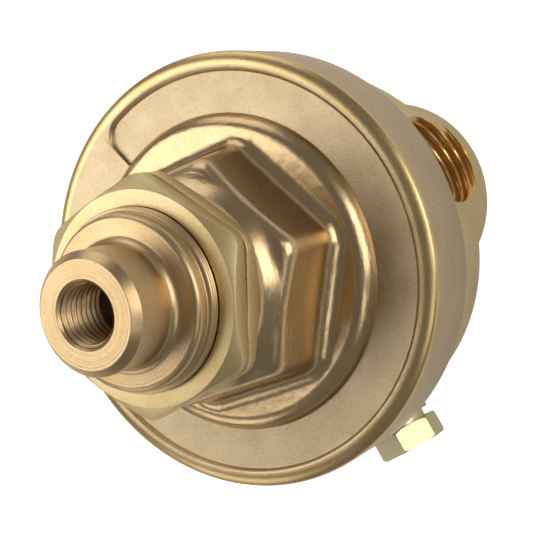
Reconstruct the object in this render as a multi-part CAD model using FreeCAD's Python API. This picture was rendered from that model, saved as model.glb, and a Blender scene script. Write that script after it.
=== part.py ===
import FreeCAD, Part
import math
import os

# Single-stage gas pressure regulator for panel mounting: a forged body with two tapped ports, a
# screwed bonnet with a drafted hexagon and a threaded nose, and the pressure works inside.
# Millimetres and degrees. The flat back face lies on z = 0, the main axis is +Z towards the
# nose, and the outlet port faces +X. Turns run counterclockwise seen from the nose.

# Clearances
thread_gap = 0.10            # radial gap of a fixed screw thread, which is drawn plain
screw_gap = 0.05             # radial gap of the adjusting screw in its thread
bush_gap = 0.05              # radial gap of a rod in its hole
loose_gap = 0.40             # radial gap of a disc that slides in a bore
ring_gap = 0.30              # radial gap round a sleeve or gasket
overcut = 1.0                # how far a cutter runs past the face it opens

# Body
hub_r = 24.0
flange_step = 0.4            # the flange stands out past the body's thread
flange_low_z = 6.8
flange_edge_round = 0.8
back_edge_round = 0.8
lobe_r = 20.2                # upright rounded lobe that carries a port
lobe_offset = 20.0           # centre of that lobe, from the main axis
shoulder_gap = 0.35          # between the body's shoulder and the bonnet's skirt
body_thread_r = 37.6
land_z = 32.5                # land that the diaphragm is clamped on
land_groove_r = 32.0
land_groove_width = 1.2
land_groove_depth = 0.4
chamber_r = 27.5
chamber_depth = 4.6

# Ports
port_r = 9.3
port_sink = 0.9              # countersink at the mouth
port_axis_z = 13.8
port_depth = 18.0            # from the lobe's outermost point
inlet_passage_r = 3.0
outlet_riser_r = 3.2
outlet_riser_x = 23.6

# Gauge port and its plug
plug_axis_z = 9.6
plug_boss_r = 8.2
plug_boss_stand = 3.3        # the boss stands out past the flange
plug_hole_depth = 10.0
plug_shank_r = 5.1
plug_shank_length = 8.0
plug_collar_length = 0.6
plug_hex_af = 12.7
plug_hex_height = 4.65
plug_hex_turn = -39.25
plug_chamfer = 0.5
gauge_passage_r = 1.5

# Diaphragm and the pieces clamped to it
diaphragm_thickness = 1.2
diaphragm_inset = 1.0        # its edge, inside the body's thread
diaphragm_rise = 2.4         # the centre stands above the clamped rim
diaphragm_flex_r = 28.4      # outer end of the flexing cone
diaphragm_pad_r = 24.4       # flat centre
slip_ring_thickness = 1.5
slip_ring_width = 7.4
plate_r = 23.4
plate_thickness = 1.6
plate_edge = 0.4
plate_hub_r = 6.6
plate_hub_height = 3.6
stud_r = 2.4
stud_overrun = 0.2
washer_r = 12.0
washer_thickness = 1.5
stud_nut_af = 9.5
stud_nut_thickness = 2.3

# Bonnet, outside
skirt_wall = 4.4             # from the body's thread to the rim
rim_round = 2.6
skirt_length = 9.95          # below the clamping face
skirt_edge_round = 0.6
cover_thickness = 5.4        # from the clamping face to the plain border
panel_depth = 0.84
border_width = 3.3           # plain border between the panel and the rim
panel_start = -169.0         # centres of the panel's two rounded ends
panel_end = 98.8
shoulder_width = 8.6         # from the hexagon's flats to the panel's inner side
shoulder_height = 1.9
shoulder_round = 2.3
hex_foot_af = 44.0
hex_head_af = 40.5
hex_height = 12.6
hex_turn = -10.8
hex_corner_r = 2.6
hex_foot_round = 3.2
hex_head_round = 1.2
neck_height = 6.7
neck_r = 17.4
waist_af = 36.8              # half way up the neck
waist_corner_r = 9.2
neck_roundness = 0.98        # corner radius at the neck's top, as a share of its radius
nose_r = 15.85
nose_thread_length = 9.7
nose_thread_chamfer = 0.65
dome_round = 2.4
dome_fillet = 1.75
tip_r = 10.4
tip_length = 7.0
tip_chamfer = 1.3

# Bonnet, inside
cover_bore_r = 28.0
cover_bore_depth = 2.2
cover_cone_r = 14.0
cover_cone_height = 3.2
spring_bore_r = 11.6
spring_bore_lead = 1.5
spring_bore_top = 23.3       # above the clamping face
screw_mouth_chamfer = 0.4

# Panel nuts
panel_nut_af = 38.1
panel_nut_thickness = 3.7
panel_nut_spacing = 0.3
panel_nut_corner_r = 5.0
panel_nut_face_r = 18.8      # circle that the corner chamfer leaves on the outer face
panel_nut_chamfer_angle = 30.0
panel_nut_lead = 0.4
front_nut_turn = -0.8
rear_nut_turn = -3.3

# Adjusting train
spring_wire_r = 1.1
spring_mean_r = 8.9
spring_length = 12.6
spring_turns = 3.0
button_thickness = 3.8
button_rim_height = 2.0
button_spigot_r = 7.2
button_spigot_length = 3.0
button_edge = 0.5
ball_r = 3.0
ball_sink = 2.5              # depth of the ball's cup in the button
screw_r = 5.45
screw_length = 12.0
screw_cup_depth = 0.5
screw_edge = 0.5
screw_socket_af = 5.6
screw_socket_depth = 5.0

# Valve capsule
nozzle_bore_r = 9.5
nozzle_bore_depth = 10.0     # below the chamber floor
nozzle_head_height = 1.4     # above the chamber floor
nozzle_edge = 0.4
nozzle_slot_width = 2.0
nozzle_slot_depth = 1.2
nozzle_spigot_r = 5.4
nozzle_spigot_length = 1.5
nozzle_tip_r = 3.2
nozzle_tip_length = 1.6
orifice_r = 2.2
gasket_thickness = 1.2
valve_bore_r = 7.6
valve_bore_floor_z = 4.0
stem_r = 1.25
stem_edge = 0.3
seat_r = 3.8
seat_thickness = 1.5
poppet_r = 4.2
poppet_height = 4.0
poppet_tail_r = 2.0
poppet_tail_length = 3.0
cage_inner_r = 5.5
cage_wall = 0.9
cage_floor = 1.2
cage_window_width = 3.4
cage_window_height = 4.5
cage_window_rise = 3.6       # sill of the windows, above the cage's floor
cage_windows = 3
screen_wall = 0.35
poppet_spring_wire_r = 0.55
poppet_spring_mean_r = 3.2
poppet_spring_turns = 2.5

# Sizes and heights that follow from those above
flange_r = body_thread_r + flange_step
plug_boss_reach = flange_r + plug_boss_stand
diaphragm_r = body_thread_r - diaphragm_inset
slip_ring_inner_r = diaphragm_r - slip_ring_width
shoulder_r = hex_foot_af / 2 + shoulder_width
rim_r = body_thread_r + skirt_wall
panel_outer_r = rim_r - border_width
clamp_z = land_z + diaphragm_thickness + slip_ring_thickness
skirt_low_z = clamp_z - skirt_length
body_shoulder_z = skirt_low_z - shoulder_gap
chamber_floor_z = land_z - chamber_depth
border_z = clamp_z + cover_thickness
ledge_z = border_z + shoulder_height
hex_head_z = ledge_z + hex_height
neck_top_z = hex_head_z + neck_height
thread_top_z = neck_top_z + nose_thread_length
dome_low_z = thread_top_z + nose_thread_chamfer
dome_top_z = dome_low_z + dome_round
tip_low_z = dome_top_z + dome_fillet
nose_end_z = tip_low_z + tip_length + tip_chamfer
pad_low_z = land_z + diaphragm_rise
plate_low_z = pad_low_z + diaphragm_thickness
spring_low_z = plate_low_z + plate_thickness
button_low_z = spring_low_z + spring_length
button_top_z = button_low_z + button_thickness
ball_z = button_top_z - ball_sink + ball_r
screw_low_z = ball_z + ball_r - screw_cup_depth
washer_low_z = pad_low_z - washer_thickness
stud_nut_low_z = washer_low_z - stud_nut_thickness
stud_low_z = stud_nut_low_z - stud_overrun
nozzle_floor_z = chamber_floor_z - nozzle_bore_depth
nozzle_low_z = nozzle_floor_z + gasket_thickness
valve_seat_z = nozzle_low_z - nozzle_spigot_length - nozzle_tip_length
poppet_top_z = valve_seat_z - seat_thickness
poppet_low_z = poppet_top_z - poppet_height
cage_floor_z = valve_bore_floor_z + cage_floor

up = FreeCAD.Vector(0, 0, 1)
origin = FreeCAD.Vector(0, 0, 0)


def point(x, y, z):
    return FreeCAD.Vector(x, y, z)


class Profile:
    """Closed outline of lines and arcs in the half plane y = 0, to be turned about the axis."""

    def __init__(self, r, z):
        self.start = point(r, 0, z)
        self.last = self.start
        self.edges = []

    def to(self, r, z):
        """Draw a line to a radius and a height."""
        end = point(r, 0, z)
        self.edges.append(Part.LineSegment(self.last, end).toShape())
        self.last = end
        return self

    def round(self, centre_r, centre_z, radius, start_angle, end_angle):
        """Draw a line to the start of an arc, then the arc."""
        spots = []
        for angle in (start_angle, (start_angle + end_angle) / 2, end_angle):
            a = math.radians(angle)
            spots.append(point(centre_r + radius * math.cos(a), 0, centre_z + radius * math.sin(a)))
        self.to(spots[0].x, spots[0].z)
        self.edges.append(Part.Arc(*spots).toShape())
        self.last = spots[2]
        return self

    def turned(self):
        self.to(self.start.x, self.start.z)
        return Part.Face(Part.Wire(self.edges)).revolve(origin, up, 360)


def turned(*corners):
    profile = Profile(*corners[0])
    for r, z in corners[1:]:
        profile.to(r, z)
    return profile.turned()


def turned_rod(r, low_z, high_z, edge):
    """Solid rod on the axis with a chamfer at each end."""
    return turned((0, low_z), (r - edge, low_z), (r, low_z + edge), (r, high_z - edge),
                  (r - edge, high_z), (0, high_z))


def ring(inner_r, outer_r, low_z, high_z):
    return turned((inner_r, low_z), (outer_r, low_z), (outer_r, high_z), (inner_r, high_z))


def upright_cylinder(r, low_z, high_z, x=0.0, y=0.0):
    return Part.makeCylinder(r, high_z - low_z, point(x, y, low_z), up)


def hexagon(across_flats, z, turn, corner_r):
    """Wire of a hexagon with rounded corners. Turn is the direction of its first corner."""
    reach = (across_flats / 2 - corner_r) / math.cos(math.radians(30))
    arcs = []
    for k in range(6):
        angle = turn + 60 * k
        a = math.radians(angle)
        centre = point(reach * math.cos(a), reach * math.sin(a), z)
        spots = []
        for swing in (-30, 0, 30):
            b = math.radians(angle + swing)
            spots.append(centre + point(corner_r * math.cos(b), corner_r * math.sin(b), 0))
        arcs.append(spots)
    edges = []
    for here, following in zip(arcs, arcs[1:] + arcs[:1]):
        edges.append(Part.Arc(*here).toShape())
        edges.append(Part.LineSegment(here[2], following[0]).toShape())
    return Part.Wire(edges)


def hex_prism(across_flats, low_z, high_z, turn=0.0):
    """Sharp-cornered hexagonal prism on the axis."""
    reach = across_flats / 2 / math.cos(math.radians(30))
    corners = []
    for k in range(7):
        a = math.radians(turn + 60 * k)
        corners.append(point(reach * math.cos(a), reach * math.sin(a), low_z))
    return Part.Face(Part.makePolygon(corners)).extrude(point(0, 0, high_z - low_z))


def coil(mean_r, wire_r, low_z, high_z, turns):
    """Round wire wound on a helix between two flat seats."""
    height = high_z - low_z - 2 * wire_r
    helix = Part.makeHelix(height / turns, height, mean_r)
    helix.translate(point(0, 0, low_z + wire_r))
    path = helix.Edges[0]
    begin = path.FirstParameter
    section = Part.Wire(Part.makeCircle(wire_r, path.valueAt(begin), path.tangentAt(begin)))
    return Part.Wire(helix.Edges).makePipeShell([section], True, True)


def edges_on_plane(shape, z):
    """Edges of a shape that lie flat at a height and aren't centred on the main axis."""
    found = []
    for edge in shape.Edges:
        box = edge.BoundBox
        middle = edge.CenterOfMass
        flat = abs(box.ZMax - z) < 1e-5 and abs(box.ZMin - z) < 1e-5
        if flat and math.hypot(middle.x, middle.y) > 1e-3:
            found.append(edge)
    return found


def body_blank():
    """Forging before it is bored: hub, round flange, male thread, two lobes and the boss."""
    core = Profile(0, 0).to(hub_r, 0).to(hub_r, flange_low_z)
    core.round(flange_r - flange_edge_round, flange_low_z + flange_edge_round, flange_edge_round,
               -90, 0)
    core.to(flange_r, body_shoulder_z).to(body_thread_r, body_shoulder_z)
    core.to(body_thread_r, land_z).to(0, land_z)
    lobes = [upright_cylinder(lobe_r, 0, body_shoulder_z, side * lobe_offset) for side in (1, -1)]
    boss = Part.makeCylinder(plug_boss_r, plug_boss_reach, point(0, 0, plug_axis_z), point(0, -1, 0))
    blank = core.turned().fuse(lobes + [boss]).removeSplitter()
    return blank.makeFillet(back_edge_round, edges_on_plane(blank, 0))


def port_hole(side):
    """Cutter of one tapped port, on +X or -X."""
    mouth = point(side * (lobe_offset + lobe_r), 0, port_axis_z)
    inward = point(-side, 0, 0)
    sink = Part.makeCone(port_r + port_sink, port_r, port_sink, mouth, inward)
    return Part.makeCylinder(port_r, port_depth, mouth, inward).fuse(sink)


def make_body():
    """Body: the forging with its chamber, valve bore, ports, passages and gauge port."""
    port_floor = lobe_offset + lobe_r - port_depth
    plug_floor = plug_boss_reach - plug_hole_depth
    inlet_start = point(-port_floor - overcut, 0, port_axis_z)
    inlet = Part.makeCylinder(inlet_passage_r, port_floor + overcut, inlet_start, point(1, 0, 0))
    gauge_start = point(0, -plug_floor - overcut, plug_axis_z)
    gauge = Part.makeCylinder(gauge_passage_r, plug_floor + overcut, gauge_start, point(0, 1, 0))
    plug_hole = Part.makeCylinder(plug_shank_r + thread_gap, plug_hole_depth,
                                  point(0, -plug_floor, plug_axis_z), point(0, -1, 0))
    groove = ring(land_groove_r - land_groove_width / 2, land_groove_r + land_groove_width / 2,
                  land_z - land_groove_depth, land_z + overcut)
    cuts = [
        upright_cylinder(chamber_r, chamber_floor_z, land_z),
        upright_cylinder(nozzle_bore_r, nozzle_floor_z, land_z),
        upright_cylinder(valve_bore_r, valve_bore_floor_z, land_z),
        upright_cylinder(outlet_riser_r, port_axis_z, land_z, outlet_riser_x),
        port_hole(1), port_hole(-1), inlet, gauge, plug_hole, groove,
    ]
    return body_blank().cut(cuts)


def bonnet_cover():
    """Turned outside of the cover: skirt, rounded rim and plain border."""
    cover = Profile(0, skirt_low_z)
    cover.round(rim_r - skirt_edge_round, skirt_low_z + skirt_edge_round, skirt_edge_round, -90, 0)
    cover.round(rim_r - rim_round, border_z - rim_round, rim_round, 0, 90)
    cover.to(0, border_z)
    return cover.turned()


def bonnet_shoulder():
    """Round step on the cover, with a broad rounding up to the ledge."""
    step = Profile(0, skirt_low_z).to(shoulder_r, skirt_low_z)
    step.round(shoulder_r - shoulder_round, ledge_z - shoulder_round, shoulder_round, 0, 90)
    step.to(0, ledge_z)
    return step.turned()


def bonnet_hexagon():
    """Drafted hexagon that flows into a round neck below the nuts."""
    foot = hexagon(hex_foot_af, ledge_z, hex_turn, hex_corner_r)
    head = hexagon(hex_head_af, hex_head_z, hex_turn, hex_corner_r)
    waist = hexagon(waist_af, hex_head_z + neck_height / 2, hex_turn, waist_corner_r)
    neck = hexagon(2 * neck_r, neck_top_z, hex_turn, neck_roundness * neck_r)
    prism = Part.makeLoft([foot, head], True, True)
    return prism.fuse(Part.makeLoft([head, waist, neck], True, True))


def bonnet_nose():
    """Turned nose: threaded length, rounded dome and plain tip."""
    dome_r = nose_r - nose_thread_chamfer
    nose = Profile(0, hex_head_z).to(nose_r, hex_head_z).to(nose_r, thread_top_z)
    nose.round(dome_r - dome_round, dome_low_z, dome_round, 0, 90)
    nose.round(tip_r + dome_fillet, tip_low_z, dome_fillet, -90, -180)
    nose.to(tip_r, nose_end_z - tip_chamfer).to(tip_r - tip_chamfer, nose_end_z)
    nose.to(0, nose_end_z)
    return nose.turned()


def bonnet_bore():
    """Cutter of the inside: body thread, cover space, spring bore and adjusting thread."""
    skirt_bore_r = body_thread_r + thread_gap
    screw_bore_r = screw_r + screw_gap
    cone_z = clamp_z + cover_bore_depth + cover_cone_height
    spring_top_z = clamp_z + spring_bore_top
    taper_z = spring_top_z + (spring_bore_r - screw_bore_r) / 2
    mouth_z = nose_end_z + screw_mouth_chamfer
    start_z = skirt_low_z - overcut
    return turned((0, start_z), (skirt_bore_r, start_z), (skirt_bore_r, clamp_z),
                  (cover_bore_r, clamp_z), (cover_bore_r, clamp_z + cover_bore_depth),
                  (cover_cone_r, cone_z), (spring_bore_r, cone_z + spring_bore_lead),
                  (spring_bore_r, spring_top_z), (screw_bore_r, taper_z),
                  (screw_bore_r, nose_end_z - screw_mouth_chamfer),
                  (screw_bore_r + 2 * screw_mouth_chamfer, mouth_z), (0, mouth_z))


def bonnet_panel():
    """Cutter of the sunk ring-shaped panel with two rounded ends."""
    low_z = border_z - panel_depth
    high_z = border_z + overcut
    middle_r = (panel_outer_r + shoulder_r) / 2
    end_r = (panel_outer_r - shoulder_r) / 2
    corners = [point(shoulder_r, 0, low_z), point(panel_outer_r, 0, low_z),
               point(panel_outer_r, 0, high_z), point(shoulder_r, 0, high_z)]
    section = Part.Face(Part.makePolygon(corners + corners[:1]))
    band = section.revolve(origin, up, panel_end - panel_start)
    band.rotate(origin, up, panel_start)
    ends = []
    for angle in (panel_start, panel_end):
        a = math.radians(angle)
        ends.append(upright_cylinder(end_r, low_z, high_z, middle_r * math.cos(a),
                                     middle_r * math.sin(a)))
    return band.fuse(ends)


def make_bonnet():
    """Bonnet: one forging with cover, panel, step, hexagon and nose, bored from below."""
    forging = bonnet_shoulder().fuse(bonnet_hexagon())
    forging = forging.makeFillet(hex_head_round, edges_on_plane(forging, hex_head_z))
    forging = forging.makeFillet(hex_foot_round, edges_on_plane(forging, ledge_z))
    cover = bonnet_cover().cut(bonnet_panel())
    return cover.fuse([forging, bonnet_nose()]).cut(bonnet_bore()).removeSplitter()


def make_panel_nut(back_z, face_z, turn):
    """Thin hexagon nut with rounded corners, chamfered on the face that turns outward."""
    outward = math.copysign(1, face_z - back_z)
    corner_r = panel_nut_af / 2 / math.cos(math.radians(30))
    fall = (corner_r - panel_nut_face_r) * math.tan(math.radians(panel_nut_chamfer_angle))
    blank = turned((0, back_z), (corner_r, back_z), (corner_r, face_z - outward * fall),
                   (panel_nut_face_r, face_z), (0, face_z))
    bore_r = nose_r + thread_gap
    mouth_r = bore_r + panel_nut_lead
    lead = outward * panel_nut_lead
    hole = turned((0, back_z), (mouth_r, back_z), (bore_r, back_z + lead),
                  (bore_r, face_z - lead), (mouth_r, face_z), (0, face_z))
    outline = Part.Face(hexagon(panel_nut_af, back_z, turn, panel_nut_corner_r))
    return outline.extrude(point(0, 0, face_z - back_z)).common(blank).cut(hole)


def make_panel_nuts():
    """Front and rear nut with their flat backs together."""
    rear_z = neck_top_z + panel_nut_spacing
    middle_z = rear_z + panel_nut_thickness
    front_z = middle_z + panel_nut_spacing
    front = make_panel_nut(front_z, front_z + panel_nut_thickness, front_nut_turn)
    rear = make_panel_nut(middle_z, rear_z, rear_nut_turn)
    return front, rear


def make_port_plug():
    """Pipe plug in the gauge port: chamfered hexagon, plain collar and screwed shank."""
    head_low = plug_boss_reach + plug_collar_length
    head_high = head_low + plug_hex_height
    corner_r = plug_hex_af / 2 / math.cos(math.radians(30))
    blank = turned_rod(corner_r, head_low, head_high, plug_chamfer)
    head = hex_prism(plug_hex_af, head_low, head_high, plug_hex_turn).common(blank)
    shank = turned_rod(plug_shank_r, plug_boss_reach - plug_shank_length, head_high - plug_chamfer,
                       plug_chamfer)
    plug = head.fuse(shank)
    plug.rotate(origin, point(1, 0, 0), 90)
    plug.translate(point(0, 0, plug_axis_z))
    return plug


def make_adjusting_screw():
    """Headless screw with a hexagon socket above and a cup for the ball below."""
    top_z = screw_low_z + screw_length
    blank = turned_rod(screw_r, screw_low_z, top_z, screw_edge)
    socket = hex_prism(screw_socket_af, top_z - screw_socket_depth, top_z)
    return blank.cut([socket, Part.makeSphere(ball_r, point(0, 0, ball_z))])


def make_spring_button():
    """Upper spring seat with a ball cup above and a spigot inside the coil."""
    rim = spring_bore_r - loose_gap
    spigot_z = button_low_z - button_spigot_length
    blank = turned((0, spigot_z), (button_spigot_r - button_edge, spigot_z),
                   (button_spigot_r, spigot_z + button_edge), (button_spigot_r, button_low_z),
                   (rim, button_low_z), (rim, button_low_z + button_rim_height),
                   (2 * ball_r, button_top_z), (0, button_top_z))
    return blank.cut(Part.makeSphere(ball_r, point(0, 0, ball_z)))


def make_diaphragm():
    """Rubber diaphragm: clamped rim, flexing cone and raised flat centre."""
    hole_r = stud_r + bush_gap
    return turned((hole_r, pad_low_z), (diaphragm_pad_r, pad_low_z), (diaphragm_flex_r, land_z),
                  (diaphragm_r, land_z), (diaphragm_r, land_z + diaphragm_thickness),
                  (diaphragm_flex_r, land_z + diaphragm_thickness), (diaphragm_pad_r, plate_low_z),
                  (hole_r, plate_low_z))


def make_diaphragm_plate():
    """Lower spring seat, with a hub inside the coil and a stud through the diaphragm."""
    hub_top_z = spring_low_z + plate_hub_height
    return turned((0, stud_low_z), (stud_r, stud_low_z), (stud_r, plate_low_z),
                  (plate_r - plate_edge, plate_low_z), (plate_r, plate_low_z + plate_edge),
                  (plate_r, spring_low_z - plate_edge), (plate_r - plate_edge, spring_low_z),
                  (plate_hub_r, spring_low_z), (plate_hub_r, hub_top_z - plate_edge),
                  (plate_hub_r - plate_edge, hub_top_z), (0, hub_top_z))


def make_stud_nut():
    nut = hex_prism(stud_nut_af, stud_nut_low_z, washer_low_z)
    return nut.cut(upright_cylinder(stud_r + bush_gap, stud_nut_low_z, washer_low_z))


def make_seat_nozzle():
    """Screwed nozzle: driver slot above, orifice through, raised seat below."""
    top_z = chamber_floor_z + nozzle_head_height
    thread_r = nozzle_bore_r - thread_gap
    spigot_z = nozzle_low_z - nozzle_spigot_length
    blank = turned((orifice_r, valve_seat_z), (orifice_r + nozzle_edge, valve_seat_z),
                   (nozzle_tip_r, spigot_z), (nozzle_spigot_r, spigot_z),
                   (nozzle_spigot_r, nozzle_low_z), (thread_r, nozzle_low_z),
                   (thread_r, top_z - nozzle_edge), (thread_r - nozzle_edge, top_z),
                   (orifice_r, top_z))
    slot = Part.makeBox(2 * nozzle_bore_r, nozzle_slot_width, nozzle_slot_depth,
                        point(-nozzle_bore_r, -nozzle_slot_width / 2, top_z - nozzle_slot_depth))
    return blank.cut(slot)


def make_valve_stem():
    """Poppet turned in one with its push rod above and its spring tail below."""
    tail_z = poppet_low_z - poppet_tail_length
    return turned((0, tail_z), (poppet_tail_r, tail_z), (poppet_tail_r, poppet_low_z),
                  (poppet_r, poppet_low_z), (poppet_r, poppet_top_z), (stem_r, poppet_top_z),
                  (stem_r, stud_low_z - stem_edge), (stem_r - stem_edge, stud_low_z),
                  (0, stud_low_z))


def make_valve_cage():
    """Cup round the poppet and its spring, with gas windows in the wall."""
    outer_r = cage_inner_r + cage_wall
    cup = turned((0, valve_bore_floor_z), (outer_r, valve_bore_floor_z), (outer_r, nozzle_low_z),
                 (cage_inner_r, nozzle_low_z), (cage_inner_r, cage_floor_z), (0, cage_floor_z))
    windows = []
    for k in range(cage_windows):
        window = Part.makeBox(outer_r, cage_window_width, cage_window_height,
                              point(0, -cage_window_width / 2, cage_floor_z + cage_window_rise))
        window.rotate(origin, up, k * 360 / cage_windows)
        windows.append(window)
    return cup.cut(windows)


def make_parts():
    front_nut, rear_nut = make_panel_nuts()
    screen_r = valve_bore_r - ring_gap
    gasket_r = nozzle_bore_r - ring_gap
    return {
        "body": make_body(),
        "bonnet": make_bonnet(),
        "panel_nut_front": front_nut,
        "panel_nut_rear": rear_nut,
        "port_plug": make_port_plug(),
        "adjusting_screw": make_adjusting_screw(),
        "thrust_ball": Part.makeSphere(ball_r, point(0, 0, ball_z)),
        "spring_button": make_spring_button(),
        "loading_spring": coil(spring_mean_r, spring_wire_r, spring_low_z, button_low_z,
                               spring_turns),
        "diaphragm_plate": make_diaphragm_plate(),
        "diaphragm": make_diaphragm(),
        "slip_ring": ring(slip_ring_inner_r, diaphragm_r, land_z + diaphragm_thickness, clamp_z),
        "diaphragm_washer": ring(stud_r + bush_gap, washer_r, washer_low_z, pad_low_z),
        "diaphragm_nut": make_stud_nut(),
        "seat_nozzle": make_seat_nozzle(),
        "nozzle_gasket": ring(valve_bore_r + ring_gap, gasket_r, nozzle_floor_z, nozzle_low_z),
        "valve_stem": make_valve_stem(),
        "seat_insert": ring(stem_r + bush_gap, seat_r, poppet_top_z, valve_seat_z),
        "poppet_spring": coil(poppet_spring_mean_r, poppet_spring_wire_r, cage_floor_z,
                              poppet_low_z, poppet_spring_turns),
        "valve_cage": make_valve_cage(),
        "inlet_screen": ring(screen_r - screen_wall, screen_r, valve_bore_floor_z, nozzle_low_z),
    }


def main():
    os.makedirs("parts", exist_ok=True)
    for name, shape in make_parts().items():
        shape.exportStep(os.path.join("parts", name + ".step"))
        print(name, "solids", len(shape.Solids), "valid", shape.isValid(),
              "volume %.1f" % shape.Volume)


main()
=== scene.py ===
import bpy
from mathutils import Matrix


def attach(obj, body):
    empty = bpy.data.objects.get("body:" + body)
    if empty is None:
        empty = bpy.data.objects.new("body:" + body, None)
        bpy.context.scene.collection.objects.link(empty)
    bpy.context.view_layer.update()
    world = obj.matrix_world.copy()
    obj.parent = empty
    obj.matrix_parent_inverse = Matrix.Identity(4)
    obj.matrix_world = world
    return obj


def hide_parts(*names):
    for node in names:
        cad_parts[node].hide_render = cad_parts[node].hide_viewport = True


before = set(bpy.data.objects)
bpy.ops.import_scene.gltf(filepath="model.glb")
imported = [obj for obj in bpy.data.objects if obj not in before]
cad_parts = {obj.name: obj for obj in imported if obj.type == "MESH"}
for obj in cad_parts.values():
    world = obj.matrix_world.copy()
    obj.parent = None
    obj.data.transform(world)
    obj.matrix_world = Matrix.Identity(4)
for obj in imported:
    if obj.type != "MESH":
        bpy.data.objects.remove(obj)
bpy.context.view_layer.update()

import logging
import math
from dataclasses import dataclass, field
from enum import Enum
from typing import Iterable

import bmesh
import bpy
import numpy as np
from mathutils import Matrix

# Every size below is in millimetres and every angle in degrees, unless its comment says otherwise.
# The axis of the part is Z, its back face is at height 0 and its nose points up.

log = logging.getLogger("regulator")
MM = 0.001
QUARTER = math.radians(90)
CREASE = 32.0
FINE_CREASE = 24.0


class Surface(Enum):
    """How a metal or polymer surface was made, which sets the relief it carries."""

    BLASTED = "blasted forging"
    TURNED = "turned on a lathe"
    GROUND = "ground along its faces"
    MILLED = "sawn, milled or cut"
    MOULDED = "moulded"
    DRAWN = "drawn wire"


@dataclass(frozen=True)
class Finish:
    """One material: its colours, gloss and the size of the marks its making left.

    The tint is the second colour of an aged metal. Without one the colour is even. The relief is
    how strongly the marks show, and a polymer's metallic is 0.
    """

    name: str
    shade: str
    surface: Surface
    roughness: float
    mark_mm: float
    relief: float
    tint: str = ""
    metallic: float = 1.0


# The marks of grit, grinding and turning are really about 0.05 to 0.1 mm across. They are too fine
# to show in the picture, so mark_mm draws all of them 0.15 to 0.35 mm across.

# Forged brass that was grit blasted: a fine even grain that spreads every reflection, with a faint
# brown bloom where it has aged.
COVER_BRASS = Finish("blasted cover brass", "#CAB694", Surface.BLASTED, 0.33, 0.28, 0.30, "#AB9470")
# The same forging down its side, which was blasted a little longer: duller and more even.
SKIRT_BRASS = Finish("blasted skirt brass", "#CBB594", Surface.BLASTED, 0.44, 0.28, 0.22, "#B9A280")
# The forging's border, rubbed smooth by handling so it holds a narrow highlight; its colour,
# lighter than the cover's, is partly clean metal and partly a painted highlight.
RIM_BRASS_PAINTED_HIGHLIGHT = Finish("burnished rim brass with painted highlight", "#E2C694", Surface.BLASTED, 0.28, 0.24, 0.14, "#C4A268")
# Forged brass, its scale ground off along each face: long faint strokes and broad soft mirrors.
FORGED_BRASS = Finish("ground hexagon brass", "#D8BD94", Surface.GROUND, 0.25, 0.30, 0.22,
                      "#BE9E70")
# Forged brass straight from the blasting drum: pale, matt and fine grained.
BODY_BRASS = Finish("blasted body brass", "#E6D2A4", Surface.BLASTED, 0.40, 0.30, 0.12, "#D5BF8C")
# Nuts sawn from drawn hexagon bar and tumbled: pale yellow, almost without grain.
NUT_BRASS = Finish("sawn nut brass", "#E6D1A6", Surface.MILLED, 0.43, 0.20, 0.08, "#CFB272")
# Lathe-cut brass that has darkened: rings round the axis draw the reflections out sideways.
TURNED_BRASS = Finish("turned nose brass", "#D2B68C", Surface.TURNED, 0.34, 0.26, 0.22, "#BD9D6E")
# Freshly cut threads inside the ports: clean metal, whose deep yellow is partly its own colour and
# partly painted bounce light, standing in for each ridge lighting the next.
PORT_BRASS_PAINTED_BOUNCE = Finish("cut port thread brass with painted bounce light", "#EDC684", Surface.MILLED, 0.34, 0.20, 0.04)
# Free-cutting brass, bright from the bar: the palest yellow here, with flat and even faces.
FITTING_BRASS = Finish("turned fitting brass", "#EADEBC", Surface.MILLED, 0.40, 0.20, 0.05,
                       "#DFD2A4")
# Cold drawn spring wire: grey, with a faint grain.
SPRING_STEEL = Finish("drawn spring steel", "#8F9094", Surface.DRAWN, 0.32, 0.15, 0.04)
# Hardened and ground steel: the smoothest and brightest grey here.
HARD_STEEL = Finish("hardened steel", "#A9ABAF", Surface.TURNED, 0.24, 0.15, 0.03)
# Aluminium off the lathe: pale grey with fine rings.
PLATE_ALLOY = Finish("turned aluminium", "#C2C4C7", Surface.TURNED, 0.34, 0.20, 0.05)
# Fabric-backed rubber from a mould: near black and dull, with a slight grain.
RUBBER = Finish("moulded diaphragm rubber", "#1C1C1E", Surface.MOULDED, 0.62, 0.35, 0.06,
                metallic=0.0)
# A hard white plastic seat: off-white with a low sheen.
SEAT_POLYMER = Finish("turned seat polymer", "#E4E1D6", Surface.MOULDED, 0.42, 0.30, 0.04,
                      metallic=0.0)


def linear(shade: str) -> tuple[float, float, float, float]:
    """Turn an sRGB hex colour into linear values.

    Args:
        shade: a colour such as "#CDB487".

    Returns:
        Red, green, blue and an alpha of 1, linear.
    """
    values = []
    for start in (1, 3, 5):
        v = int(shade[start:start + 2], 16) / 255
        values.append(v / 12.92 if v <= 0.04045 else ((v + 0.055) / 1.055) ** 2.4)
    return values[0], values[1], values[2], 1.0


def add_node(tree: bpy.types.NodeTree, kind: str, settings: dict | None = None,
             inputs: dict | None = None) -> bpy.types.Node:
    """Add one shader node.

    Args:
        tree: the node tree it goes into.
        kind: the node's type name.
        settings: properties to set on the node.
        inputs: socket name or number to a value, or to the socket that is linked to it.

    Returns:
        The new node.
    """
    node = tree.nodes.new(kind)
    for key, value in (settings or {}).items():
        setattr(node, key, value)
    for key, value in (inputs or {}).items():
        socket = node.inputs[key]
        if isinstance(value, bpy.types.NodeSocket):
            tree.links.new(value, socket)
        else:
            socket.default_value = value
    return node


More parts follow.
